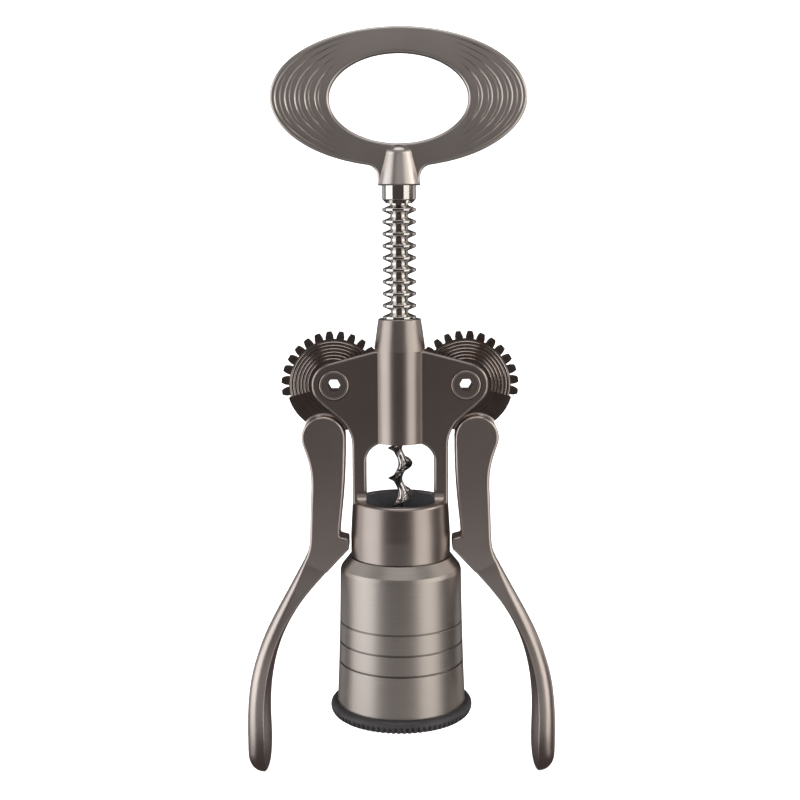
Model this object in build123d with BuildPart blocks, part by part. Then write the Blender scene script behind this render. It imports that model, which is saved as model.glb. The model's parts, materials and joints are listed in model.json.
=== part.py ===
from build123d import *
import os
from math import acos, atan2, cos, degrees, floor, hypot, pi, radians, sin, sqrt, tan

# Lever corkscrew with two geared levers, a ring handle and a bell.
# Millimetres. The origin is on the axis where the lip of a bottle seats in the bell, +Z runs
# up the axis, the front faces -Y and the levers hang in the XZ plane at rest.

# Clearances and rounded edges
running_gap = 0.05
side_gap = 0.3
cast_round = 0.9
small_round = 0.4

# Bell and rubber foot ring
bell_height = 56.0
bell_mouth_r = 22.3
bell_middle_r = 21.4
bell_shoulder_r = 20.9
shoulder_height = 5.0
shoulder_bevel = 1.3
shoulder_top_r = 17.6
line_top_rise = 33.4
line_spacing = 7.1
line_count = 3
line_width = 0.7
line_depth = 0.45
foot_r = 24.7
foot_top_r = 22.9
foot_under_r = 22.7
foot_height = 4.4
foot_middle = 2.5
foot_seat = 1.2
foot_lip_depth = 3.4
rib_count = 80
rib_gap_r = 0.5
rib_sink = 0.35
rib_length = 5.0

# Guide for the bottle neck and liner of the collar
neck_bore_r = 15.4
guide_wall = 2.8
guide_lead = 2.0
guide_lead_height = 4.0
guide_slots = 8
guide_slot_width = 1.6
guide_slot_height = 24.0
stop_height = 4.0
liner_bore_r = 13.0
liner_wall = 1.2
liner_flange = 1.9
liner_flange_height = 2.6

# Frame: collar, legs, cheeks and sleeve
collar_height = 19.8
collar_r = 17.1
collar_taper_drop = 12.0
rim_r = 16.4
rim_round = 1.5
spigot_wall = 2.1
spigot_length = 7.0
joint_line = 0.4
plate_half = 4.5
leg_outer_x = 16.3
window_half = 11.65
window_height = 19.9
window_corner = 6.5
leg_foot_r = 3.4
leg_shoulder_rise = 4.6
leg_curve_r = 12.0
cheek_rise = 31.4
sleeve_r = 8.75
sleeve_top_r = 7.2
sleeve_length = 42.1
sleeve_gap = 0.29
lobe_wall = 2.4

# Rack and gear sectors
ring_pitch = 4.0
ring_crest_r = 5.66
ring_root_r = 3.0
ring_addendum = 0.55
ring_crest_half = 0.44
ring_round = 0.25
flank_angle = 23.0
gear_teeth = 27
gear_addendum = 0.66
gear_dedendum = 1.95
backlash = 0.6
gear_half = 2.1
gear_slot_gap = 0.6
teeth_over = 14
teeth_under = 2
blank_drop = 1.12
blank_overlap = 0.4
pivot_rise = 19.9
face_line_count = 6
face_line_first_r = 9.06
face_line_step = 1.13
face_line_width = 0.6
face_line_depth = 0.22
face_line_lip = 0.1
travel = 43.5
end_gap = 0.9
rack_collar_length = 4.56
rack_collar_bevel = 1.4
rack_neck = 3.0
rack_tail = 3.3

# Pivot bolts, sleeve nuts and bushes
bolt_head_r = 5.0
bolt_head_height = 1.3
barrel_r = 3.5
bolt_shank_r = 2.8
bolt_hex = 4.0
head_gap = 0.2
bush_wall = 1.0
bush_flange = 1.5
bush_flange_height = 0.8
bush_proud = 0.1

# Lever: head, heel and arm, drawn for the right lever
head_r = 7.45
head_clear = 3.05
head_step_r = 1.2
lever_gap = 2.35
shank_width = 12.05
waist_drop = 11.2
head_end_angle = -20.0
knee_out = 0.45
heel_gap = 0.65
heel_top = 6.5
heel_face = 3.7
heel_reach = 3.1
heel_round = 0.8

# Stations of the arm, from one inside the plate and one at its end to the tip: outer and inner
# edge, each outward from the bell's shoulder and down from the bell's top, then how much wider
# than the head it is on each side, the outer edges' round and the crown of the inner face
arm_stations = [
    ((10.65, -2.6), (1.45, 1.85), -0.06, 0.9, 0.2),
    ((12.4, 1.8), (4.7, 5.6), 0.0, 0.9, 0.2),
    ((18.2, 12.5), (13.1, 15.8), 0.5, 2.4, 0.5),
    ((28.0, 32.0), (22.15, 34.0), 2.3, 3.6, 1.2),
    ((31.7, 45.1), (24.6, 46.5), 3.1, 4.1, 1.6),
    ((32.8, 56.1), (25.1, 56.5), 3.6, 4.4, 1.8),
    ((32.9, 69.0), (25.0, 69.3), 3.7, 4.4, 1.8),
    ((32.4, 73.3), (25.4, 73.7), 2.8, 3.6, 1.5),
    ((30.7, 76.2), (26.1, 76.6), 0.7, 2.1, 0.9),
    ((29.0, 77.7), (27.0, 77.9), -1.9, 0.7, 0.35),
]
crease_round = 0.6
root_station = 1
root_inset = 0.05

# Worm and its shank
worm_r = 4.25
worm_core_r = 1.6
worm_core_shift = 0.85
worm_pitch = 10.5
worm_length = 44.0
worm_point = 9.0
worm_facing_rise = 12.3
worm_shoulder_r = 2.9
worm_shoulder_height = 1.6
shank_r = 2.0
shank_seat = 9.0
press_gap = 0.02

# Handle
boss_r = 7.15
boss_top_r = 4.85
boss_height = 10.2
boss_dome = 3.5
oval_half_width = 42.5
oval_half_height = 22.7
oval_rise = 28.8
hole_half_width = 23.05
hole_half_height = 14.6
hole_drop = 0.4
handle_half = 2.25
neck_round = 4.0
handle_round = 0.9
oval_line_count = 5
oval_line_margin = 1.55
oval_line_hole_margin = 4.65
oval_line_top_margin = 1.4
oval_line_width = 2.05
oval_line_narrowing = 0.155
oval_line_end = 70.0
oval_line_end_step = 6.6
oval_line_depth = 0.4
oval_line_slope = 0.45
oval_line_steps = 4

# Levels along the axis, counted from the seat of the bottle's lip
mouth_z = spigot_length + liner_flange_height + stop_height - bell_height
seat_z = mouth_z + foot_seat
bell_top_z = mouth_z + bell_height
rim_z = bell_top_z + collar_height
sleeve_bottom = rim_z + window_height
sleeve_top = sleeve_bottom + sleeve_length
pivot_z = sleeve_bottom + pivot_rise
cheek_top_z = sleeve_bottom + cheek_rise
boss_bottom = sleeve_top + travel + end_gap
rack_collar_bottom = boss_bottom - rack_collar_length
top_crest_z = rack_collar_bottom - rack_neck - ring_crest_half
rack_bottom = sleeve_bottom + rack_tail
oval_z = boss_bottom + oval_rise
hole_z = oval_z - hole_drop
shoulder_z = bell_top_z - shoulder_height
spigot_bottom = bell_top_z - spigot_length
guide_top = spigot_bottom - liner_flange_height

# Radii and places that follow from the fits and the mesh
pitch_r = ring_pitch * gear_teeth / (2 * pi)
pivot_x = ring_crest_r - ring_addendum + pitch_r
pivot = (pivot_x, pivot_z)
gear_tip_r = pitch_r + gear_addendum
gear_root_r = pitch_r - gear_dedendum
slot_half = gear_half + side_gap
lobe_r = bolt_head_r + head_gap + lobe_wall
liner_r = liner_bore_r + liner_wall
collar_bore_r = liner_r + running_gap
spigot_r = collar_bore_r + spigot_wall
guide_r = neck_bore_r + guide_wall
bell_bore_r = guide_r + running_gap
bush_bore_r = barrel_r + running_gap
bush_r = bush_bore_r + bush_wall
bush_flange_r = bush_r + bush_flange
rack_bore_r = shank_r + running_gap

os.makedirs("parts", exist_ok=True)


def tangent_point(point, center, radius, side):
    """Where a line from point touches a circle, left (1) or right (-1) of the way to its centre."""
    dx = point[0] - center[0]
    dy = point[1] - center[1]
    angle = atan2(dy, dx) - side * acos(radius / hypot(dx, dy))
    return (center[0] + radius * cos(angle), center[1] + radius * sin(angle))


def involute(radius, half_angle):
    """Point of a tooth's upper flank at a radius; half_angle is its half width on the pitch circle."""
    base_r = pitch_r * cos(radians(flank_angle))
    turn_at_pitch = tan(radians(flank_angle)) - radians(flank_angle)
    pressure = acos(min(1.0, base_r / radius))
    angle = half_angle + turn_at_pitch - (tan(pressure) - pressure)
    return (radius * cos(angle), radius * sin(angle))


# Bell: turned shell with a bevelled shoulder, open at the mouth
with BuildPart() as bell:
    with BuildSketch(Plane.XZ):
        with BuildLine():
            Polyline(
                (bell_bore_r, seat_z),
                (bell_mouth_r, seat_z),
                (bell_mouth_r, seat_z + foot_lip_depth),
            )
            ThreePointArc(
                (bell_mouth_r, seat_z + foot_lip_depth),
                (bell_middle_r, (seat_z + foot_lip_depth + shoulder_z) / 2),
                (bell_shoulder_r, shoulder_z),
            )
            Polyline(
                (bell_shoulder_r, shoulder_z),
                (bell_shoulder_r - small_round, shoulder_z + shoulder_bevel),
                (shoulder_top_r, bell_top_z),
                (spigot_r + running_gap, bell_top_z),
                (spigot_r + running_gap, guide_top),
                (bell_bore_r, guide_top),
                (bell_bore_r, seat_z),
            )
        make_face()
    revolve(axis=Axis.Z)
    for line in range(line_count):
        line_z = mouth_z + line_top_rise - line * line_spacing
        with BuildSketch(Plane.XY.offset(line_z - line_width / 2)):
            Circle(foot_r)
            Circle(bell_middle_r - line_depth, mode=Mode.SUBTRACT)
        extrude(amount=line_width, mode=Mode.SUBTRACT)

# Foot ring: rounded rubber ring that the bell's mouth sits in, ribbed on its lower edge
with BuildPart() as foot_ring:
    foot_middle_z = mouth_z + foot_middle
    upper_reach = foot_r - foot_top_r
    lower_reach = foot_r - foot_under_r
    with BuildSketch(Plane.XZ):
        with BuildLine():
            EllipticalCenterArc(
                (foot_under_r, foot_middle_z), lower_reach, foot_middle, 270, arc_size=90
            )
            EllipticalCenterArc(
                (foot_top_r, foot_middle_z), upper_reach, foot_height - foot_middle, 0, arc_size=90
            )
            Polyline(
                (foot_top_r, mouth_z + foot_height),
                (bell_mouth_r + running_gap, mouth_z + foot_height),
                (bell_mouth_r + running_gap, seat_z),
                (bell_bore_r, seat_z),
                (bell_bore_r, mouth_z),
                (foot_under_r, mouth_z),
            )
        make_face()
    revolve(axis=Axis.Z)
    rib_angle = radians(45)
    rib_tilt = degrees(atan2(lower_reach, foot_middle))
    with Locations((0, 0, foot_middle_z - (foot_middle - rib_sink) * sin(rib_angle))):
        with PolarLocations(foot_under_r + (lower_reach - rib_sink) * cos(rib_angle), rib_count):
            Cylinder(rib_gap_r, rib_length, rotation=(0, rib_tilt, 0), mode=Mode.SUBTRACT)

# Neck guide: polymer sleeve in the bell with a cone to lead the bottle in and a stop above
with BuildPart() as neck_guide:
    stop_z = guide_top - stop_height
    with BuildSketch(Plane.XZ):
        with BuildLine():
            Polyline(
                (neck_bore_r, seat_z + guide_lead_height),
                (neck_bore_r + guide_lead, seat_z),
                (guide_r, seat_z),
                (guide_r, guide_top),
                (liner_bore_r, guide_top),
                (liner_bore_r, stop_z),
                (neck_bore_r, stop_z),
                close=True,
            )
        make_face()
    revolve(axis=Axis.Z)
    with BuildSketch(Plane.XY.offset(seat_z)):
        with PolarLocations((guide_r + neck_bore_r) / 2, guide_slots):
            Rectangle(guide_wall * 2, guide_slot_width)
    extrude(amount=guide_slot_height, mode=Mode.SUBTRACT)

# Collar liner: black sleeve held between the guide and the frame's spigot
with BuildPart() as collar_liner:
    with BuildSketch(Plane.XZ):
        with BuildLine():
            Polyline(
                (liner_bore_r, guide_top),
                (liner_r + liner_flange, guide_top),
                (liner_r + liner_flange, spigot_bottom),
                (liner_r, spigot_bottom),
                (liner_r, rim_z - small_round),
                (liner_bore_r, rim_z - small_round),
                close=True,
            )
        make_face()
    revolve(axis=Axis.Z)

# Plate that the cheeks and legs of the frame are made of, with rounded edges
with BuildPart() as cheek_plate:
    shoulder_corner = (leg_outer_x, sleeve_bottom + leg_shoulder_rise)
    sleeve_corner = (sleeve_r, cheek_top_z)
    with BuildSketch(Plane.XZ, mode=Mode.PRIVATE) as plate:
        with BuildLine():
            Polyline(
                (0, cheek_top_z),
                sleeve_corner,
                tangent_point(sleeve_corner, pivot, lobe_r, 1),
                pivot,
                tangent_point(shoulder_corner, pivot, lobe_r, -1),
                shoulder_corner,
                (leg_outer_x, rim_z - rim_round),
                (0, rim_z - rim_round),
                close=True,
            )
        make_face()
        with Locations(pivot):
            Circle(lobe_r)
        fillet(plate.vertices().sort_by_distance(shoulder_corner)[:1], radius=leg_curve_r)
        mirror(about=Plane.YZ)
    with BuildSketch(Plane.XZ, mode=Mode.PRIVATE) as window:
        with Locations((0, sleeve_bottom - window_height)):
            Rectangle(2 * window_half, 2 * window_height)
        fillet(window.vertices().group_by(Axis.Y)[-1], radius=window_corner)
    extrude(plate.sketch, amount=plate_half, both=True)
    extrude(window.sketch, amount=plate_half, both=True, mode=Mode.SUBTRACT)
    fillet(cheek_plate.faces().filter_by(Axis.Y).edges(), radius=cast_round)

# Frame: collar, two legs, front and rear cheeks and the sleeve, in one casting
with BuildPart() as frame:
    # concave feet of the legs on the collar's rim
    with BuildSketch(Plane.YZ.offset(window_half)):
        with BuildLine():
            Polyline(
                (plate_half + leg_foot_r, rim_z),
                (plate_half + leg_foot_r, rim_z - rim_round),
                (0, rim_z - rim_round),
                (0, rim_z + leg_foot_r),
                (plate_half - cast_round, rim_z + leg_foot_r),
                (plate_half, rim_z + leg_foot_r),
            )
            RadiusArc(
                (plate_half, rim_z + leg_foot_r),
                (plate_half + leg_foot_r, rim_z),
                -leg_foot_r,
            )
        make_face()
        mirror(about=Plane.YZ)
    extrude(amount=rim_r - window_half)
    mirror(about=Plane.YZ)
    with BuildSketch(Plane.XY.offset(rim_z - rim_round)):
        Circle(rim_r - rim_round / 2)
    extrude(amount=rim_round + leg_foot_r, mode=Mode.INTERSECT)

    # cheeks, legs and the turned sleeve
    add(cheek_plate.part)
    with BuildSketch(Plane.XZ) as sleeve_section:
        with BuildLine():
            Polyline(
                (0, sleeve_bottom),
                (sleeve_r, sleeve_bottom),
                (sleeve_r, cheek_top_z),
                (sleeve_top_r, sleeve_top),
                (0, sleeve_top),
                close=True,
            )
        make_face()
        fillet(
            sleeve_section.vertices().sort_by_distance((sleeve_top_r, sleeve_top))[:1],
            radius=small_round,
        )
    revolve(axis=Axis.Z)

    # collar with its rounded rim and the spigot that the bell fits on
    with BuildSketch(Plane.XZ) as collar_section:
        with BuildLine():
            Polyline(
                (collar_bore_r, spigot_bottom),
                (spigot_r, spigot_bottom),
                (spigot_r, bell_top_z + joint_line),
                (collar_r, bell_top_z + joint_line),
                (collar_r, rim_z - collar_taper_drop),
                (rim_r, rim_z),
                (collar_bore_r, rim_z),
                close=True,
            )
        make_face()
        fillet(
            collar_section.vertices().sort_by_distance((rim_r, rim_z))[:1],
            radius=rim_round,
        )
    revolve(axis=Axis.Z)

    # bores, gear slots and seats of the pivots
    with BuildSketch(Plane.XY.offset(spigot_bottom)):
        Circle(collar_bore_r)
    extrude(amount=rim_z - spigot_bottom, mode=Mode.SUBTRACT)
    with BuildSketch(Plane.XY.offset(sleeve_bottom - window_corner)):
        Circle(ring_crest_r + sleeve_gap)
    extrude(amount=window_corner + sleeve_length, mode=Mode.SUBTRACT)
    with BuildSketch(Plane.XZ):
        with Locations(pivot, (-pivot_x, pivot_z)):
            Circle(gear_tip_r + gear_slot_gap)
    extrude(amount=slot_half, both=True, mode=Mode.SUBTRACT)
    with BuildSketch(Plane.XZ):
        with Locations(pivot, (-pivot_x, pivot_z)):
            Circle(barrel_r + running_gap)
    extrude(amount=plate_half, both=True, mode=Mode.SUBTRACT)
    for face_y in (plate_half, -plate_half):
        with BuildSketch(Plane.XZ.offset(face_y)):
            with Locations(pivot, (-pivot_x, pivot_z)):
                Circle(bolt_head_r + head_gap)
        extrude(amount=-bolt_head_height if face_y > 0 else bolt_head_height, mode=Mode.SUBTRACT)

# Rack shaft: rings that mesh with the gear sectors, below a plain collar
with BuildPart() as rack_shaft:
    flank_slope = tan(radians(flank_angle))
    ring_base_half = ring_crest_half + (ring_crest_r - ring_root_r) * flank_slope
    ring_count = floor((top_crest_z - ring_base_half - rack_bottom) / ring_pitch) + 1
    outline = [(rack_bore_r, rack_bottom), (ring_root_r, rack_bottom)]
    for ring in range(ring_count - 1, -1, -1):
        crest_z = top_crest_z - ring * ring_pitch
        outline += [
            (ring_root_r, crest_z - ring_base_half),
            (ring_crest_r, crest_z - ring_crest_half),
            (ring_crest_r, crest_z + ring_crest_half),
            (ring_root_r, crest_z + ring_base_half),
        ]
    outline += [
        (ring_root_r, rack_collar_bottom - rack_collar_bevel),
        (ring_crest_r - rack_collar_bevel, rack_collar_bottom - rack_collar_bevel),
        (ring_crest_r, rack_collar_bottom),
        (ring_crest_r, boss_bottom - running_gap),
        (rack_bore_r, boss_bottom - running_gap),
    ]
    with BuildSketch(Plane.XZ) as rack_section:
        with BuildLine():
            Polyline(*outline, close=True)
        make_face()
        fillet(
            rack_section.vertices().filter_by(
                lambda v: abs(v.X - ring_crest_r) < press_gap and v.Y < rack_collar_bottom - press_gap
            ),
            radius=ring_round,
        )
    revolve(axis=Axis.Z)

# Worm: right-hand blade round a solid core, with a shank that runs up through the rack
with BuildPart() as worm:
    worm_top = rack_bottom - running_gap - worm_shoulder_height
    worm_tip = worm_top - worm_length
    facing_z = rim_z + worm_facing_rise
    tangent_angle = acos(worm_core_r / (worm_r - worm_core_shift))
    tangent_x = worm_core_shift + worm_core_r * cos(tangent_angle)
    tangent_y = worm_core_r * sin(tangent_angle)
    with BuildSketch(Plane.XY.offset(worm_tip), mode=Mode.PRIVATE) as blade_section:
        with BuildLine():
            Polyline((tangent_x, tangent_y), (worm_r, 0), (tangent_x, -tangent_y))
            ThreePointArc(
                (tangent_x, -tangent_y), (worm_core_shift - worm_core_r, 0), (tangent_x, tangent_y)
            )
        make_face()
    blade = Solid.extrude_linear_with_rotation(
        blade_section.sketch.face(),
        (0, 0, worm_tip),
        (0, 0, worm_length),
        360 * worm_length / worm_pitch,
    )
    add(blade.rotate(Axis.Z, 360 * (worm_tip - facing_z) / worm_pitch))
    with BuildSketch(Plane.XZ):
        with BuildLine():
            Polyline(
                (0, worm_tip),
                (worm_r, worm_tip + worm_point),
                (worm_r, worm_top),
                (0, worm_top),
                close=True,
            )
        make_face()
    revolve(axis=Axis.Z, mode=Mode.INTERSECT)
    with BuildSketch(Plane.XZ):
        with BuildLine():
            Polyline(
                (0, worm_top - worm_shoulder_height),
                (worm_core_r, worm_top - worm_shoulder_height),
                (worm_shoulder_r, worm_top),
                (worm_shoulder_r, worm_top + worm_shoulder_height),
                (shank_r, worm_top + worm_shoulder_height),
                (shank_r, boss_bottom + shank_seat),
                (0, boss_bottom + shank_seat),
                close=True,
            )
        make_face()
    revolve(axis=Axis.Z)

# Handle: oval ring with grooved lobes and a conical boss on its lower edge
with BuildPart() as handle:
    neck_top = oval_z - oval_half_height * sqrt(1 - (boss_r / oval_half_width) ** 2)
    with BuildSketch(Plane.XZ) as oval:
        with Locations((0, oval_z)):
            Ellipse(oval_half_width, oval_half_height)
        with Locations((0, (boss_bottom + oval_z) / 2)):
            Rectangle(2 * boss_r, oval_z - boss_bottom)
        fillet(
            oval.vertices().filter_by(lambda v: abs(v.Y - neck_top) < small_round),
            radius=neck_round,
        )
    extrude(amount=handle_half, both=True)
    with BuildSketch(Plane.XZ):
        with Locations((0, hole_z)):
            Ellipse(hole_half_width, hole_half_height)
    extrude(amount=handle_half, both=True, mode=Mode.SUBTRACT)
    fillet(handle.faces().filter_by(Axis.Y).edges(), radius=handle_round)

    # tapering oval grooves, five to a lobe, on both faces
    line_span_x = oval_half_width - hole_half_width - oval_line_margin - oval_line_hole_margin
    line_span_z = oval_half_height - hole_half_height - 2 * oval_line_top_margin
    for line in range(oval_line_count):
        share = line / (oval_line_count - 1)
        outer_x = oval_half_width - oval_line_margin - share * line_span_x
        outer_z = oval_half_height - oval_line_top_margin - share * line_span_z
        width = oval_line_width - line * oval_line_narrowing
        end = radians(oval_line_end - line * oval_line_end_step)
        for face in (1, -1):
            for depth, inset in ((0, 0), (oval_line_depth, oval_line_slope)):
                out_x = outer_x - inset
                in_x = outer_x - width + inset
                end_x = (outer_x - inset) * cos(end)
                end_z = (outer_z - inset) * sin(end)
                in_end = acos(end_x / in_x)
                in_z = end_z / sin(in_end)
                steps = [step / oval_line_steps for step in range(-oval_line_steps, oval_line_steps + 1)]
                with BuildSketch(Plane.XZ.offset(face * (handle_half - depth))):
                    with BuildLine():
                        Spline(
                            *[
                                (out_x * cos(end * s), oval_z + (outer_z - inset) * sin(end * s))
                                for s in steps
                            ]
                        )
                        Spline(
                            *[
                                (in_x * cos(in_end * s), oval_z + in_z * sin(in_end * s))
                                for s in steps
                            ]
                        )
                    make_face()
            groove = loft(mode=Mode.SUBTRACT)
            mirror(groove, about=Plane.YZ, mode=Mode.SUBTRACT)

    # conical boss with a domed end just under the finger hole, bored for the worm's shank
    boss_side_top = boss_bottom + boss_height
    with BuildSketch(Plane.XZ) as boss_section:
        with BuildLine():
            Polyline(
                (boss_top_r, boss_side_top),
                (boss_r, boss_bottom + small_round),
                (boss_r - small_round, boss_bottom),
                (0, boss_bottom),
                (0, boss_side_top + boss_dome),
            )
            EllipticalCenterArc((0, boss_side_top), boss_top_r, boss_dome, 0, arc_size=90)
        make_face()
    revolve(axis=Axis.Z)
    with BuildSketch(Plane.XY.offset(boss_bottom)):
        Circle(shank_r + press_gap)
    extrude(amount=shank_seat + press_gap, mode=Mode.SUBTRACT)

# One gear tooth with involute flanks, pointing along +X
with BuildSketch() as tooth:
    tooth_width = ring_pitch - 2 * (ring_crest_half + ring_addendum * tan(radians(flank_angle))) - backlash
    half_angle = tooth_width / 2 / pitch_r
    base_r = pitch_r * cos(radians(flank_angle))
    foot = involute(gear_root_r - gear_addendum, half_angle)
    base = involute(base_r, half_angle)
    middle = involute((base_r + gear_tip_r) / 2, half_angle)
    tip = involute(gear_tip_r, half_angle)
    with BuildLine():
        Line(foot, base)
        ThreePointArc(base, middle, tip)
        ThreePointArc(tip, (gear_tip_r, 0), (tip[0], -tip[1]))
        ThreePointArc((tip[0], -tip[1]), (middle[0], -middle[1]), (base[0], -base[1]))
        Polyline((base[0], -base[1]), (foot[0], -foot[1]), foot)
    make_face()

# Arm of the right lever: a plate at its root that widens into a rounded paddle
with BuildPart() as arm:
    for index, (outer, inner, widening, outer_round, crown) in enumerate(arm_stations):
        inset = root_inset if index <= root_station else 0
        outer_point = Vector(bell_shoulder_r + outer[0], 0, bell_top_z - outer[1])
        inner_point = Vector(bell_shoulder_r + inner[0], 0, bell_top_z - inner[1])
        across = inner_point - outer_point
        thickness = across.length - inset
        half_width = plate_half + widening - inset
        section_plane = Plane(outer_point, x_dir=across, z_dir=across.cross(Vector(0, 1, 0)))
        with BuildSketch(section_plane) as section:
            with BuildLine():
                Polyline(
                    (thickness - crown, half_width),
                    (inset, half_width),
                    (inset, -half_width),
                    (thickness - crown, -half_width),
                )
                ThreePointArc(
                    (thickness - crown, -half_width),
                    (thickness, 0),
                    (thickness - crown, half_width),
                )
            make_face()
            fillet(section.vertices().group_by(Axis.X)[0], radius=outer_round)
            fillet(section.vertices().group_by(Axis.X)[-1], radius=crease_round)
    loft()

# Head and heel of the right lever, a plate with rounded edges
with BuildPart() as lever_plate:
    shank_in_x = leg_outer_x + lever_gap
    shank_out_x = shank_in_x + shank_width
    head_x = shank_in_x + head_r
    head_z = pivot_z - lobe_r - head_clear - head_r
    waist_z = head_z - waist_drop
    heel_x = collar_r + heel_gap
    heel_z = bell_top_z + heel_top
    root_out, root_in = [
        (bell_shoulder_r + reach, bell_top_z - drop) for reach, drop in arm_stations[root_station][:2]
    ]
    above_reach, above_drop = arm_stations[root_station - 1][0]
    below_reach, below_drop = arm_stations[root_station + 1][0]
    head_end = radians(head_end_angle)
    head_outer = (head_x + head_r * cos(head_end), head_z + head_r * sin(head_end))
    heel_inner = (heel_x + heel_reach, heel_z + heel_round)
    with BuildSketch(Plane.XZ) as lever_outline:
        with BuildLine():
            ThreePointArc((shank_in_x, head_z), (head_x, head_z + head_r), head_outer)
            Spline(
                head_outer,
                (shank_out_x, waist_z),
                (shank_out_x, (waist_z + heel_z) / 2),
                (shank_out_x + knee_out, heel_z),
                root_out,
                tangents=[
                    (sin(head_end), -cos(head_end)),
                    (below_reach - above_reach, above_drop - below_drop),
                ],
            )
            Polyline(
                root_out,
                root_in,
                (heel_x, heel_z - heel_face),
                (heel_x, heel_z),
                heel_inner,
            )
            Spline(
                heel_inner,
                ((heel_inner[0] + shank_in_x) / 2, (heel_z + waist_z) / 2),
                (shank_in_x, head_z),
                tangents=[(shank_in_x - heel_inner[0], head_z - heel_z), (0, 1)],
            )
        make_face()
        fillet(
            lever_outline.vertices().filter_by(
                lambda v: heel_z - heel_face - press_gap < v.Y < heel_inner[1] + press_gap
                and v.X < heel_inner[0] + press_gap
            ),
            radius=heel_round,
        )
    extrude(amount=plate_half, both=True)
    root_center = Vector((root_out[0] + root_in[0]) / 2, 0, (root_out[1] + root_in[1]) / 2)
    fillet(
        lever_plate.faces()
        .filter_by(Axis.Y)
        .edges()
        .filter_by(lambda e: (e.center() - root_center).length > plate_half + press_gap),
        radius=cast_round,
    )

# Hollow curve between the head's top and the faces of the gear sector
with BuildPart() as head_step:
    blank_r = pitch_r - blank_drop
    head_axis = Axis((head_x, 0, head_z), (0, 1, 0))
    with BuildSketch(Plane((head_x, 0, head_z))):
        with BuildLine():
            Polyline(
                (head_r + head_step_r, gear_half),
                (head_r + head_step_r, 0),
                (head_r - cast_round, 0),
                (head_r - cast_round, gear_half + head_step_r),
                (head_r, gear_half + head_step_r),
            )
            RadiusArc((head_r, gear_half + head_step_r), (head_r + head_step_r, gear_half), -head_step_r)
        make_face()
    revolve(axis=head_axis, revolution_arc=-180)
    mirror(about=Plane.XZ)
    with BuildSketch(Plane.XZ):
        with Locations(pivot):
            Circle(blank_r)
    extrude(amount=plate_half, both=True, mode=Mode.INTERSECT)

# Right lever: gear sector, head, heel and arm in one casting
with BuildPart() as right_lever:
    tooth_step = 360 / gear_teeth
    gap_index = floor((top_crest_z - pivot_z) / ring_pitch - 0.5)
    mesh_z = top_crest_z - (gap_index + 0.5) * ring_pitch
    mesh_angle = 180 - degrees((mesh_z - pivot_z) / pitch_r)
    last_tooth = mesh_angle - teeth_over * tooth_step
    tooth_count = teeth_over + 1 + teeth_under
    blank_start = last_tooth + (tooth_count - blank_overlap) * tooth_step
    blank_size = 360 - (tooth_count + 1 - 2 * blank_overlap) * tooth_step
    with BuildSketch(Plane.XZ):
        with Locations(pivot):
            Circle(gear_root_r)
            with PolarLocations(0, tooth_count, last_tooth, tooth_count * tooth_step):
                add(tooth.sketch)
    extrude(amount=gear_half, both=True)
    with BuildSketch(Plane.XZ):
        with BuildLine():
            rim = CenterArc(pivot, blank_r, blank_start, blank_size)
            Polyline(rim @ 1, pivot, rim @ 0)
        make_face()
    extrude(amount=gear_half, both=True)
    add(lever_plate.part)
    add(head_step.part)
    add(arm.part)

    # lines turned in the sector's faces
    line_start = radians(last_tooth - tooth_step / 2)
    line_plane = Plane(
        (pivot_x, 0, pivot_z),
        x_dir=(cos(line_start), 0, sin(line_start)),
        z_dir=(-sin(line_start), 0, cos(line_start)),
    )
    line_half = face_line_width / 2 * (1 + face_line_lip / face_line_depth)
    with BuildSketch(line_plane):
        for line in range(face_line_count):
            line_r = face_line_first_r + line * face_line_step
            for face in (1, -1):
                with BuildLine():
                    Polyline(
                        (line_r - line_half, face * (gear_half + face_line_lip)),
                        (line_r, face * (gear_half - face_line_depth)),
                        (line_r + line_half, face * (gear_half + face_line_lip)),
                        close=True,
                    )
                make_face()
    revolve(
        axis=Axis((pivot_x, 0, pivot_z), (0, 1, 0)),
        revolution_arc=-tooth_count * tooth_step,
        mode=Mode.SUBTRACT,
    )

    # bored hub with seats for the bushes
    for face in (1, -1):
        with BuildSketch(Plane.XZ.offset(face * gear_half)):
            with Locations(pivot):
                Circle(bush_flange_r + press_gap)
        extrude(amount=-face * (bush_flange_height - bush_proud), mode=Mode.SUBTRACT)
    with BuildSketch(Plane.XZ):
        with Locations(pivot):
            Circle(bush_r + press_gap)
    extrude(amount=gear_half, both=True, mode=Mode.SUBTRACT)

# Left lever: the right one mirrored
with BuildPart() as left_lever:
    mirror(right_lever.part, about=Plane.YZ)

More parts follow.
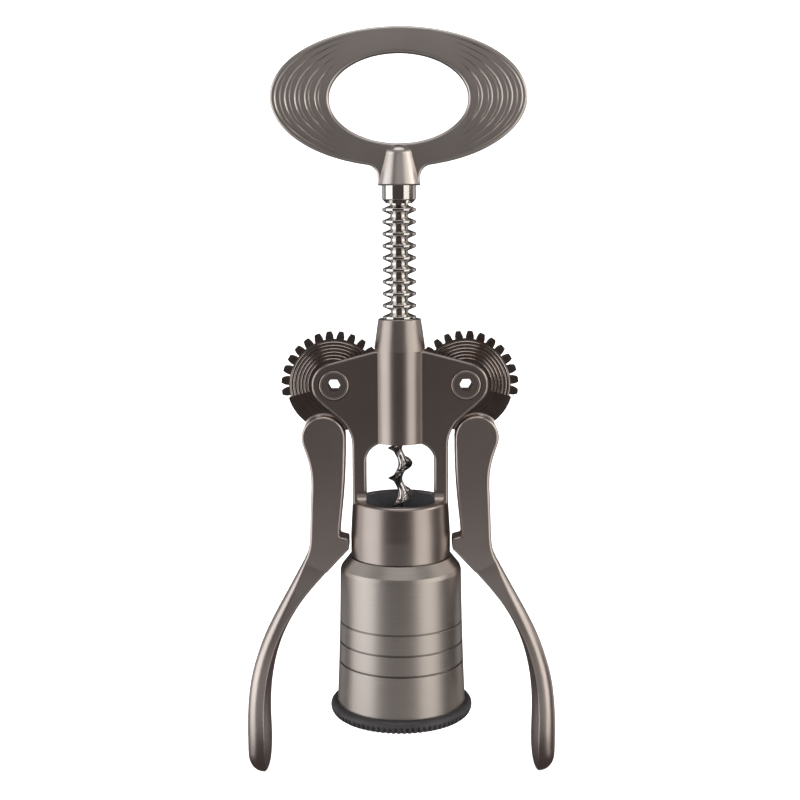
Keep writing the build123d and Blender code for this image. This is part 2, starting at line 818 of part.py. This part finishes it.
# Pivots: a hollow bolt from the front, a sleeve nut from the rear and two flanged bushes in the hub
for side, center_x in (("left", -pivot_x), ("right", pivot_x)):
    center = (center_x, pivot_z)
    clamp_length = 2 * plate_half - bolt_head_height
    with BuildPart() as pivot_bolt:
        with BuildSketch(Plane.XZ.offset(plate_half)):
            with Locations(center):
                Circle(bolt_head_r)
        extrude(amount=-bolt_head_height)
        fillet(pivot_bolt.faces().sort_by(Axis.Y)[0].edges(), radius=small_round)
        with BuildSketch(Plane.XZ.offset(plate_half)):
            with Locations(center):
                Circle(bolt_shank_r)
        extrude(amount=-(clamp_length - running_gap))
        with BuildSketch(Plane.XZ.offset(plate_half)):
            with Locations(center):
                RegularPolygon(bolt_hex / 2, 6, major_radius=False)
        extrude(amount=-clamp_length, mode=Mode.SUBTRACT)
    pivot_bolt.part.label = f"{side}_pivot_bolt"
    export_step(pivot_bolt.part, f"parts/{side}_pivot_bolt.step")

    with BuildPart() as pivot_sleeve:
        with BuildSketch(Plane.XZ.offset(-plate_half)):
            with Locations(center):
                Circle(bolt_head_r)
        extrude(amount=bolt_head_height)
        fillet(pivot_sleeve.faces().sort_by(Axis.Y)[-1].edges(), radius=small_round)
        with BuildSketch(Plane.XZ.offset(-plate_half)):
            with Locations(center):
                RegularPolygon(bolt_hex / 2, 6, major_radius=False)
        extrude(amount=bolt_head_height, mode=Mode.SUBTRACT)
        with BuildSketch(Plane.XZ.offset(bolt_head_height - plate_half)):
            with Locations(center):
                Circle(barrel_r)
                Circle(bolt_shank_r + running_gap, mode=Mode.SUBTRACT)
        extrude(amount=clamp_length - bolt_head_height - running_gap)
    pivot_sleeve.part.label = f"{side}_pivot_sleeve"
    export_step(pivot_sleeve.part, f"parts/{side}_pivot_sleeve.step")

    for end, face in (("front", 1), ("rear", -1)):
        flange_face = gear_half + bush_proud
        with BuildPart() as lever_bush:
            with BuildSketch(Plane.XZ.offset(face * flange_face)):
                with Locations(center):
                    Circle(bush_flange_r)
            extrude(amount=-face * bush_flange_height)
            with BuildSketch(Plane.XZ.offset(face * flange_face)):
                with Locations(center):
                    Circle(bush_r)
            extrude(amount=-face * (flange_face - running_gap))
            with BuildSketch(Plane.XZ.offset(face * flange_face)):
                with Locations(center):
                    Circle(bush_bore_r)
            extrude(amount=-face * flange_face, mode=Mode.SUBTRACT)
        lever_bush.part.label = f"{side}_{end}_bush"
        export_step(lever_bush.part, f"parts/{side}_{end}_bush.step")

# The other finished pieces
pieces = {
    "bell": bell,
    "foot_ring": foot_ring,
    "neck_guide": neck_guide,
    "collar_liner": collar_liner,
    "frame": frame,
    "rack_shaft": rack_shaft,
    "worm": worm,
    "handle": handle,
    "right_lever": right_lever,
    "left_lever": left_lever,
}
for name, piece in pieces.items():
    piece.part.label = name
    export_step(piece.part, f"parts/{name}.step")
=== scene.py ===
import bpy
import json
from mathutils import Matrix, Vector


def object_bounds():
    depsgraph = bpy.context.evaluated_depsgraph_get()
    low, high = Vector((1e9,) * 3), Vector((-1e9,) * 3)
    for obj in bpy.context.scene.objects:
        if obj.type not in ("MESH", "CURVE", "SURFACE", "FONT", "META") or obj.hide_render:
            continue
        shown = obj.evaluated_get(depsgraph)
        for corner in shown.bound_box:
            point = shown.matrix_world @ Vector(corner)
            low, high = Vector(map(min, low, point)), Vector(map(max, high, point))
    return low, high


bl_info = {
    "name": "Lever corkscrew",
    "version": (1, 0, 0),
    "blender": (4, 5, 0),
    "location": "3D View > Sidebar > Corkscrew",
    "description": "Finishes and a studio for a corkscrew with two geared levers",
    "category": "Object",
}

import json
from math import pi, radians

import bmesh
import bpy
from bpy.props import FloatProperty, FloatVectorProperty, IntProperty, PointerProperty
from mathutils import Matrix, Vector

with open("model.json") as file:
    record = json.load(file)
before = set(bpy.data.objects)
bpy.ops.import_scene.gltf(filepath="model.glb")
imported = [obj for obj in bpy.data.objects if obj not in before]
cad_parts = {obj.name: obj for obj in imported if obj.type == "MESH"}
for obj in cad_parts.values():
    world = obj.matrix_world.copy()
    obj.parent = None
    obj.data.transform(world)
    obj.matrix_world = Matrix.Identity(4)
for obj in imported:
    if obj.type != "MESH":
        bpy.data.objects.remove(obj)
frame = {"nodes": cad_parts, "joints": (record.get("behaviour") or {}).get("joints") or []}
cad_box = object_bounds()
nodes = frame["nodes"]
pivot = next(joint["pos_m"] for joint in frame["joints"] if joint["name"] == "right_lever_swing")


def colour_property(name, description, default):
    return FloatVectorProperty(
        name=name, description=description, default=default, size=3, min=0, max=1, subtype="COLOR"
    )


def length_property(name, description, default):
    return FloatProperty(
        name=name, description=description, default=default, unit="LENGTH", precision=5
    )


def factor_property(name, description, default):
    return FloatProperty(
        name=name, description=description, default=default, min=0, max=1, subtype="FACTOR"
    )


def glow_property(name, description, default):
    return FloatProperty(name=name, description=description, default=default, min=0)


def angle_property(name, description, degrees):
    return FloatProperty(
        name=name, description=description, default=radians(degrees), subtype="ANGLE", unit="ROTATION"
    )


class CorkscrewFinish(bpy.types.PropertyGroup):
    """Colours and grain of the finishes"""

    handle_metal: colour_property("Handle", "Bead-blasted handle", (0.70, 0.655, 0.63))
    frame_metal: colour_property("Frame", "Satin frame", (0.45, 0.4, 0.375))
    lever_metal: colour_property("Levers", "Satin levers", (0.62, 0.56, 0.53))
    bell_metal: colour_property("Bell", "Brushed bell", (0.53, 0.49, 0.46))
    gear_metal: colour_property("Gears", "Polished faces of the gear sectors", (0.42, 0.375, 0.355))
    patina: colour_property("Patina", "Brown patina on the gear sectors", (0.27, 0.19, 0.14))
    bright_metal: colour_property("Bright metal", "Polished rack and worm", (0.80, 0.78, 0.76))
    pivot_metal: colour_property("Pivot metal", "Polished pivot bolts", (0.55, 0.50, 0.47))
    rubber: colour_property("Rubber", "Black rubber of the foot ring", (0.021, 0.0195, 0.021))
    polymer: colour_property("Polymer", "Black polymer of the liner and guide", (0.085, 0.085, 0.092))
    # Colour of the painted shade laid in the bell's engraved lines
    groove_shade: colour_property("Groove", "Dark painted_shade in the bell's engraved lines", (0.27, 0.25, 0.235))
    satin: factor_property("Satin", "Mean roughness of the frame and levers", 0.33)
    handle_satin: factor_property("Handle satin", "Mean roughness of the handle", 0.34)
    brushing: factor_property("Brushing", "Mean roughness of the bell", 0.38)
    blast_grain: length_property("Blast grain", "Size of one dimple left by bead blasting", 0.0003)
    brush_line: length_property("Brush line", "Width of one brushed line", 0.00025)
    groove_count: IntProperty(
        name="Grooves", description="How many lines are engraved on the bell", default=3, min=1
    )
    groove_top: length_property("Top groove", "Height of the bell's highest engraved line", -0.009)
    groove_step: length_property("Groove step", "Drop from one engraved line to the next", 0.0071)
    groove_width: length_property("Groove width", "Width of the dark in one engraved line", 0.0006)
    gear_reach: length_property("Gear reach", "Radius that the gear sectors stay inside", 0.0181)
    gear_thickness: length_property("Gear thickness", "Thickness of the gear sectors", 0.0043)
    gear_ring: length_property("Gear ring", "Width of one ring turned on a gear sector", 0.0004)
    bolt_ring: length_property("Bolt ring", "Width of one ring turned on a bolt's head", 0.0003)
    # Radius where the painted highlight on a bolt's head begins
    bolt_rim: length_property("Bolt rim", "Radius where the bright rim of a bolt's head begins", 0.0041)


class CorkscrewStage(bpy.types.PropertyGroup):
    """Sizes and light of the studio"""

    floor_colour: colour_property("Floor", "Pale floor and its raised rim", (0.9, 0.9, 0.9))
    floor_shine: glow_property("Floor shine", "Own light of the floor and its rim", 0.75)
    room_colour: colour_property("Room", "Dim room that the flat faces reflect", (0.07, 0.058, 0.055))
    warm_light: colour_property("Warm light", "Light of the panels on the right", (1, 0.955, 0.89))
    clear_light: colour_property("Clear light", "Light of the other panels", (1, 0.99, 0.98))
    panel_height: length_property("Panel height", "Height of each panel beside the object", 0.95)
    panel_distance: length_property("Panel distance", "Distance of the panels from the axis", 0.75)
    panel_rise: length_property("Panel rise", "Height of the middle of each panel", 0.12)
    high_panel_rise: length_property("High panel rise", "Height of the high right panel", 0.36)
    left_glow: glow_property("Left glow", "Radiance of the left panel", 1.4)
    right_glow: glow_property("Right glow", "Radiance of the right panel", 1.2)
    top_glow: glow_property("Top glow", "Radiance of the top panel", 1.4)
    side_glow: glow_property("Side glow", "Radiance of the high right panel", 2.2)
    floor_glow: glow_property("Floor glow", "Radiance of the light off the table", 0.26)
    back_glow: glow_property("Back glow", "Radiance of the panels behind", 0.4)
    front_glow: glow_property("Front glow", "Radiance of the panel over the camera", 0.35)
    camera_distance: length_property("Camera distance", "Distance of the camera from the axis", 0.449)
    camera_height: length_property("Camera height", "Height over the seat of the lip", 0.1317)
    camera_tilt: angle_property("Camera tilt", "How far the camera looks down", 8.13)
    camera_roll: angle_property("Camera roll", "How far the camera leans to one side", -0.27)


def new_material(name, slot_colour, metallic, roughness):
    """A material whose shader has its plain numbers set, with its node tree and shader."""
    material = bpy.data.materials.new(name)
    material.use_nodes = True
    material.diffuse_color = (*slot_colour, 1)
    tree = material.node_tree
    shader = tree.nodes["Principled BSDF"]
    shader.inputs["Metallic"].default_value = metallic
    shader.inputs["Roughness"].default_value = roughness
    shader.inputs["Base Color"].default_value = (*slot_colour, 1)
    return material, tree, shader


def add_node(tree, kind, **settings):
    node = tree.nodes.new(kind)
    for name, value in settings.items():
        setattr(node, name, value)
    return node


def place_on_object(tree, scale=(1, 1, 1)):
    """Object coordinates through a mapping that may stretch them."""
    coordinate = add_node(tree, "ShaderNodeTexCoord")
    mapping = add_node(tree, "ShaderNodeMapping")
    mapping.inputs["Scale"].default_value = scale
    tree.links.new(coordinate.outputs["Object"], mapping.inputs["Vector"])
    return mapping.outputs["Vector"]


def noise(tree, vector, scale, detail=3.0, roughness=0.55):
    node = add_node(tree, "ShaderNodeTexNoise")
    node.inputs["Scale"].default_value = scale
    node.inputs["Detail"].default_value = detail
    node.inputs["Roughness"].default_value = roughness
    tree.links.new(vector, node.inputs["Vector"])
    return node.outputs["Fac"]


def two_tones(tree, factor, dark, light, low=0.3, high=0.7):
    node = add_node(tree, "ShaderNodeValToRGB")
    node.color_ramp.elements[0].position = low
    node.color_ramp.elements[0].color = (*dark, 1)
    node.color_ramp.elements[1].position = high
    node.color_ramp.elements[1].color = (*light, 1)
    tree.links.new(factor, node.inputs["Fac"])
    return node.outputs["Color"]


def spread(tree, factor, low, high, from_low=0.25, from_high=0.75):
    """The factor's usual range stretched to a range of values."""
    node = add_node(tree, "ShaderNodeMapRange")
    node.inputs["From Min"].default_value = from_low
    node.inputs["From Max"].default_value = from_high
    node.inputs["To Min"].default_value = low
    node.inputs["To Max"].default_value = high
    tree.links.new(factor, node.inputs["Value"])
    return node.outputs["Result"]


def math(tree, operation, first, second=None):
    node = add_node(tree, "ShaderNodeMath", operation=operation)
    for socket, value in zip(node.inputs, (first, second)):
        if value is None:
            continue
        if isinstance(value, (int, float)):
            socket.default_value = value
        else:
            tree.links.new(value, socket)
    return node.outputs["Value"]


def blend_colours(tree, factor, first, second):
    node = add_node(tree, "ShaderNodeMix", data_type="RGBA")
    tree.links.new(factor, node.inputs["Factor"])
    for socket, value in ((node.inputs[6], first), (node.inputs[7], second)):
        if isinstance(value, tuple):
            socket.default_value = (*value, 1)
        else:
            tree.links.new(value, socket)
    return node.outputs[2]


def relief(tree, shader, height, strength, depth):
    """A bump of real depth on the shader's normal."""
    node = add_node(tree, "ShaderNodeBump")
    node.inputs["Strength"].default_value = strength
    node.inputs["Distance"].default_value = depth
    tree.links.new(height, node.inputs["Height"])
    tree.links.new(node.outputs["Normal"], shader.inputs["Normal"])


def object_axes(tree):
    """The three object coordinates, each by itself."""
    coordinate = add_node(tree, "ShaderNodeTexCoord")
    split = add_node(tree, "ShaderNodeSeparateXYZ")
    tree.links.new(coordinate.outputs["Object"], split.inputs["Vector"])
    return split.outputs


def turned_about(tree, along, centre):
    """Distance from an axis, with the left half folded onto the right one, and place along it."""
    axes = object_axes(tree)
    squares = []
    for axis, middle in zip("XYZ", centre):
        if axis == along:
            continue
        value = axes[axis]
        if axis == "X":
            value = math(tree, "ABSOLUTE", value)
        offset = math(tree, "SUBTRACT", value, middle)
        squares.append(math(tree, "MULTIPLY", offset, offset))
    return math(tree, "SQRT", math(tree, "ADD", *squares)), axes[along]


def turned_lines(tree, reach, pitch):
    """Fine rings left by turning."""
    node = add_node(tree, "ShaderNodeTexNoise", noise_dimensions="1D")
    node.inputs["Scale"].default_value = 1 / pitch
    node.inputs["Detail"].default_value = 3.0
    tree.links.new(reach, node.inputs["W"])
    return node.outputs["Fac"]


def shade(colour, share):
    return tuple(share * channel for channel in colour)


def dress(piece, material):
    """One material over the whole piece."""
    piece.data.materials.clear()
    piece.data.materials.append(material)
    for face in piece.data.polygons:
        face.material_index = 0


def satin_casting(name, metal, finish, satin):
    """Satin plated casting with soft clouds and a fine bead-blasted grain."""
    clouds_per_metre = 42.0
    cloud_share = 0.7
    material, tree, shader = new_material(name, metal, 1.0, satin)
    grain = noise(tree, place_on_object(tree), 1 / finish.blast_grain, detail=2.0)
    cloud = noise(tree, place_on_object(tree), clouds_per_metre, detail=4.0)
    tone = math(
        tree, "ADD",
        math(tree, "MULTIPLY", cloud, cloud_share),
        math(tree, "MULTIPLY", grain, 1 - cloud_share),
    )
    colour = two_tones(tree, tone, shade(metal, 0.9), shade(metal, 1.06))
    rough = spread(tree, grain, satin - 0.02, satin + 0.03)
    tree.links.new(colour, shader.inputs["Base Color"])
    tree.links.new(rough, shader.inputs["Roughness"])
    relief(tree, shader, grain, strength=0.03, depth=0.00001)
    return material, tree, shader, colour, rough


class CORKSCREW_OT_castings(bpy.types.Operator):
    """Satin finish on the handle and the frame"""

    bl_idname = "corkscrew.castings"
    bl_label = "Finish the castings"

    def execute(self, context):
        finish = context.scene.corkscrew_finish
        handle = satin_casting("satin_handle", finish.handle_metal, finish, finish.handle_satin)[0]
        frame_casting = satin_casting("satin_frame", finish.frame_metal, finish, finish.satin)[0]
        dress(nodes["handle"], handle)
        dress(nodes["frame"], frame_casting)
        return {"FINISHED"}


class CORKSCREW_OT_levers(bpy.types.Operator):
    """Satin arms and polished gear sectors on the two levers"""

    bl_idname = "corkscrew.levers"
    bl_label = "Finish the levers"

    def execute(self, context):
        finish = context.scene.corkscrew_finish
        stains_per_metre = 210.0
        material, tree, shader, arm, arm_rough = satin_casting(
            "satin_lever", finish.lever_metal, finish, finish.satin
        )
        reach, across = turned_about(tree, "Y", pivot)
        rings = turned_lines(tree, reach, finish.gear_ring)
        face = two_tones(tree, rings, shade(finish.gear_metal, 0.7), shade(finish.gear_metal, 1.1))
        blotch = noise(tree, place_on_object(tree), stains_per_metre, detail=5.0)
        stain = spread(tree, blotch, low=0.0, high=0.8, from_low=0.48, from_high=0.72)
        face = blend_colours(tree, stain, face, tuple(finish.patina))
        near_pivot = math(tree, "LESS_THAN", reach, finish.gear_reach)
        thin = math(tree, "LESS_THAN", math(tree, "ABSOLUTE", across), finish.gear_thickness / 2)
        gear = math(tree, "MULTIPLY", near_pivot, thin)
        tree.links.new(blend_colours(tree, gear, arm, face), shader.inputs["Base Color"])
        rough = add_node(tree, "ShaderNodeMix", data_type="FLOAT")
        tree.links.new(gear, rough.inputs["Factor"])
        tree.links.new(arm_rough, rough.inputs[2])
        tree.links.new(spread(tree, rings, low=0.16, high=0.26), rough.inputs[3])
        tree.links.new(rough.outputs[0], shader.inputs["Roughness"])
        for name in ("left_lever", "right_lever"):
            dress(nodes[name], material)
        return {"FINISHED"}


class CORKSCREW_OT_bell(bpy.types.Operator):
    """Bell brushed round its axis, with painted shade in its engraved lines"""

    bl_idname = "corkscrew.bell"
    bl_label = "Finish the bell"

    def execute(self, context):
        finish = context.scene.corkscrew_finish
        along_brush = (0.02, 0.02, 1)
        material, tree, shader = new_material("brushed_bell", finish.bell_metal, 1.0, finish.brushing)
        lines = noise(tree, place_on_object(tree, along_brush), 1 / finish.brush_line, detail=3.0)
        brushed = two_tones(tree, lines, shade(finish.bell_metal, 0.93), shade(finish.bell_metal, 1.04))
        # Painted shade: bands at the heights of the engraved lines take the darker groove colour
        height = object_axes(tree)["Z"]
        below_top = math(tree, "SUBTRACT", finish.groove_top + finish.groove_step / 2, height)
        in_step = math(tree, "MODULO", below_top, finish.groove_step)
        off_line = math(tree, "ABSOLUTE", math(tree, "SUBTRACT", in_step, finish.groove_step / 2))
        cut = math(tree, "LESS_THAN", off_line, finish.groove_width / 2)
        under = math(tree, "GREATER_THAN", below_top, 0.0)
        over = math(tree, "LESS_THAN", below_top, finish.groove_count * finish.groove_step)
        groove_shade = math(tree, "MULTIPLY", cut, math(tree, "MULTIPLY", under, over))
        colour = blend_colours(tree, groove_shade, brushed, tuple(finish.groove_shade))
        rough = spread(tree, lines, finish.brushing - 0.04, finish.brushing + 0.05)
        tree.links.new(colour, shader.inputs["Base Color"])
        tree.links.new(rough, shader.inputs["Roughness"])
        relief(tree, shader, lines, strength=0.06, depth=0.00003)
        dress(nodes["bell"], material)
        return {"FINISHED"}


class CORKSCREW_OT_bright_parts(bpy.types.Operator):
    """Mirror polish on the rack and the worm"""

    bl_idname = "corkscrew.bright_parts"
    bl_label = "Polish the rack and the worm"

    def execute(self, context):
        finish = context.scene.corkscrew_finish
        smears_per_metre = 160.0
        along_rack = (1, 1, 0.4)
        material, tree, shader = new_material("polished_steel", finish.bright_metal, 1.0, 0.09)
        smear = noise(tree, place_on_object(tree, along_rack), smears_per_metre, detail=4.0)
        tree.links.new(spread(tree, smear, low=0.06, high=0.13), shader.inputs["Roughness"])
        dull = shade(finish.bright_metal, 0.88)
        tree.links.new(two_tones(tree, smear, dull, finish.bright_metal), shader.inputs["Base Color"])
        dress(nodes["rack_shaft"], material)
        dress(nodes["worm"], material)
        return {"FINISHED"}


class CORKSCREW_OT_pivots(bpy.types.Operator):
    """Dark polish on the pivot bolts and sleeve nuts, with a painted highlight on the rim of each bolt's
    head, and black bushes
    """

    bl_idname = "corkscrew.pivots"
    bl_label = "Finish the pivots"

    def execute(self, context):
        finish = context.scene.corkscrew_finish
        specks_per_metre = 2400.0
        material, tree, shader = new_material("pivot_metal", finish.pivot_metal, 1.0, 0.33)
        reach = turned_about(tree, "Y", pivot)[0]
        rings = turned_lines(tree, reach, finish.bolt_ring)
        face = two_tones(tree, rings, shade(finish.pivot_metal, 0.8), finish.pivot_metal)
        # Painted highlight: beyond the rim radius the metal is made 1.5 times as light
        rim = math(tree, "GREATER_THAN", reach, finish.bolt_rim)
        painted_rim_highlight = blend_colours(tree, rim, face, shade(finish.pivot_metal, 1.5))
        tree.links.new(painted_rim_highlight, shader.inputs["Base Color"])
        tree.links.new(spread(tree, rings, low=0.28, high=0.38), shader.inputs["Roughness"])
        bush, bush_tree, bush_shader = new_material("bush_polymer", finish.polymer, 0.0, 0.5)
        speckle = noise(bush_tree, place_on_object(bush_tree), specks_per_metre, detail=2.0)
        bush_tree.links.new(spread(bush_tree, speckle, low=0.4, high=0.6), bush_shader.inputs["Roughness"])
        for side in ("left", "right"):
            dress(nodes[f"{side}_pivot_bolt"], material)
            dress(nodes[f"{side}_pivot_sleeve"], material)
            dress(nodes[f"{side}_front_bush"], bush)
            dress(nodes[f"{side}_rear_bush"], bush)
        return {"FINISHED"}


def black_rubber(finish):
    """Matt rubber with a little dust."""
    specks_per_metre = 3200.0
    dust_per_metre = 70.0
    material, tree, shader = new_material("black_rubber", finish.rubber, 0.0, 0.5)
    speckle = noise(tree, place_on_object(tree), specks_per_metre, detail=3.0)
    dust = noise(tree, place_on_object(tree), dust_per_metre, detail=4.0)
    dusty = two_tones(tree, dust, finish.rubber, shade(finish.rubber, 1.7))
    tree.links.new(dusty, shader.inputs["Base Color"])
    tree.links.new(spread(tree, speckle, low=0.38, high=0.58), shader.inputs["Roughness"])
    relief(tree, shader, speckle, strength=0.2, depth=0.00004)
    return material


def black_polymer(finish):
    """Moulded polymer with a slight sheen."""
    specks_per_metre = 2200.0
    material, tree, shader = new_material("black_polymer", finish.polymer, 0.0, 0.4)
    speckle = noise(tree, place_on_object(tree), specks_per_metre, detail=3.0)
    tree.links.new(spread(tree, speckle, low=0.26, high=0.4), shader.inputs["Roughness"])
    relief(tree, shader, speckle, strength=0.1, depth=0.00003)
    return material


class CORKSCREW_OT_black_parts(bpy.types.Operator):
    """Black rubber foot ring, and black polymer liner and guide"""

    bl_idname = "corkscrew.black_parts"
    bl_label = "Finish the black parts"

    def execute(self, context):
        finish = context.scene.corkscrew_finish
        polymer = black_polymer(finish)
        dress(nodes["foot_ring"], black_rubber(finish))
        dress(nodes["neck_guide"], polymer)
        dress(nodes["collar_liner"], polymer)
        return {"FINISHED"}


def round_axis(angle, distance, height):
    """A place at an angle round the axis, in degrees from the front."""
    return Matrix.Rotation(radians(angle), 4, "Z") @ Vector((0, -distance, height))


def add_panel(name, location, target, width, height, glow, colour):
    """A soft light panel of a given radiance that faces a point."""
    light = bpy.data.lights.new(name, "AREA")
    light.shape = "RECTANGLE"
    light.size = width
    light.size_y = height
    light.energy = glow * pi * width * height
    light.color = colour
    lamp = bpy.data.objects.new(name, light)
    lamp.location = location
    lamp.rotation_euler = (target - location).to_track_quat("-Z", "Y").to_euler()
    bpy.context.scene.collection.objects.link(lamp)
    return lamp


def lay_floor(scene, stage, floor_z):
    """A pale round floor that curves up into a rim on all sides."""
    profile = ((0, 0), (3.0, 0), (3.5, 0.15), (3.85, 0.65), (3.95, 3.65))
    sweep = bmesh.new()
    corners = [sweep.verts.new((reach, 0, rise)) for reach, rise in profile]
    edges = [sweep.edges.new(ends) for ends in zip(corners, corners[1:])]
    bmesh.ops.spin(
        sweep, geom=corners + edges, cent=(0, 0, 0), axis=(0, 0, 1),
        angle=2 * pi, steps=96, use_merge=True,
    )
    bmesh.ops.remove_doubles(sweep, verts=sweep.verts, dist=0.001)
    bmesh.ops.translate(sweep, vec=(0, 0, floor_z), verts=sweep.verts)
    bmesh.ops.recalc_face_normals(sweep, faces=sweep.faces)
    mesh = bpy.data.meshes.new("floor_sweep")
    sweep.to_mesh(mesh)
    sweep.free()
    floor = bpy.data.objects.new("floor_sweep", mesh)
    scene.collection.objects.link(floor)
    pale, tree, shader = new_material("pale_floor", stage.floor_colour, 0.0, 0.9)
    shader.inputs["Emission Color"].default_value = (1, 1, 1, 1)
    shader.inputs["Emission Strength"].default_value = stage.floor_shine
    dress(floor, pale)
    floor.visible_glossy = False


def dim_room(scene, stage):
    """A dim even world, which the polished and satin metals reflect."""
    world = bpy.data.worlds.new("dim_room")
    world.use_nodes = True
    background = world.node_tree.nodes["Background"]
    background.inputs["Color"].default_value = (*stage.room_colour, 1)
    background.inputs["Strength"].default_value = 1.0
    scene.world = world


def hang_panels(stage, floor_z):
    """Soft panels round the object, above it and over the camera, and the light off the table."""
    clear, warm = stage.clear_light, stage.warm_light
    body_middle = Vector((0, 0, 0.06))
    handle_foot = Vector((0, 0, 0.16))
    handle_middle = Vector((0, 0, 0.17))
    for name, angle, width, glow, colour in (
        ("left_panel", -74, 0.80, stage.left_glow, clear),
        ("right_panel", 52, 0.55, stage.right_glow, warm),
        ("back_left_panel", -130, 0.40, stage.back_glow, clear),
        ("back_right_panel", 125, 0.50, stage.back_glow, clear),
    ):
        place = round_axis(angle, stage.panel_distance, stage.panel_rise)
        add_panel(name, place, body_middle, width, stage.panel_height, glow, colour)
    add_panel(
        "high_right_panel", round_axis(84, stage.panel_distance, stage.high_panel_rise), handle_middle,
        width=0.35, height=0.4, glow=stage.side_glow, colour=warm,
    )
    add_panel(
        "top_panel", Vector((0, -0.15, 0.85)), body_middle,
        width=0.7, height=0.5, glow=stage.top_glow, colour=clear,
    )
    add_panel(
        "front_panel", Vector((0, -0.62, 0.46)), handle_foot,
        width=0.5, height=0.36, glow=stage.front_glow, colour=clear,
    )
    table = Vector((0, -0.17, floor_z + 0.002))
    bounce = add_panel(
        "table_glow", table, table + Vector((0, 0, 1)),
        width=0.9, height=0.24, glow=stage.floor_glow, colour=clear,
    )
    bounce.visible_camera = False


def set_camera(scene, stage):
    """A camera in front of the object that looks slightly down on it."""
    sensor_width = 36.0
    picture_width = 800
    focal_pixels = 1330
    camera = bpy.data.cameras.new("camera")
    camera.sensor_width = sensor_width
    camera.lens = sensor_width * focal_pixels / picture_width
    camera.clip_start = 0.02
    viewer = bpy.data.objects.new("camera", camera)
    viewer.location = (0, -stage.camera_distance, stage.camera_height)
    aim = Matrix.Rotation(pi / 2 - stage.camera_tilt, 4, "X")
    roll = Matrix.Rotation(stage.camera_roll, 4, "Z")
    viewer.rotation_euler = (aim @ roll).to_euler()
    scene.collection.objects.link(viewer)
    scene.camera = viewer
    scene.view_settings.view_transform = "Standard"


class CORKSCREW_OT_stage(bpy.types.Operator):
    """Pale round floor with a raised rim, soft panels and the camera"""

    bl_idname = "corkscrew.stage"
    bl_label = "Set the stage"

    def execute(self, context):
        scene = context.scene
        stage = scene.corkscrew_stage
        floor_z = cad_box[0][2]
        lay_floor(scene, stage, floor_z)
        dim_room(scene, stage)
        hang_panels(stage, floor_z)
        set_camera(scene, stage)
        return {"FINISHED"}


class CORKSCREW_PT_tools(bpy.types.Panel):
    """Lists the steps that finish the corkscrew"""

    bl_idname = "CORKSCREW_PT_tools"
    bl_label = "Corkscrew"
    bl_space_type = "VIEW_3D"
    bl_region_type = "UI"
    bl_category = "Corkscrew"

    def draw(self, context):
        column = self.layout.column()
        for operator in operators:
            column.operator(operator.bl_idname)
        for group in (context.scene.corkscrew_finish, context.scene.corkscrew_stage):
            for name in group.__annotations__:
                column.prop(group, name)


operators = (
    CORKSCREW_OT_castings,
    CORKSCREW_OT_levers,
    CORKSCREW_OT_bell,
    CORKSCREW_OT_bright_parts,
    CORKSCREW_OT_pivots,
    CORKSCREW_OT_black_parts,
    CORKSCREW_OT_stage,
)
classes = (CorkscrewFinish, CorkscrewStage, *operators, CORKSCREW_PT_tools)


def register():
    for item in classes:
        bpy.utils.register_class(item)
    bpy.types.Scene.corkscrew_finish = PointerProperty(type=CorkscrewFinish)
    bpy.types.Scene.corkscrew_stage = PointerProperty(type=CorkscrewStage)


def unregister():
    del bpy.types.Scene.corkscrew_stage
    del bpy.types.Scene.corkscrew_finish
    for item in reversed(classes):
        bpy.utils.unregister_class(item)


def main():
    register()
    bpy.ops.corkscrew.castings()
    bpy.ops.corkscrew.levers()
    bpy.ops.corkscrew.bell()
    bpy.ops.corkscrew.bright_parts()
    bpy.ops.corkscrew.pivots()
    bpy.ops.corkscrew.black_parts()
    bpy.ops.corkscrew.stage()


if __name__ == "__main__":
    main()
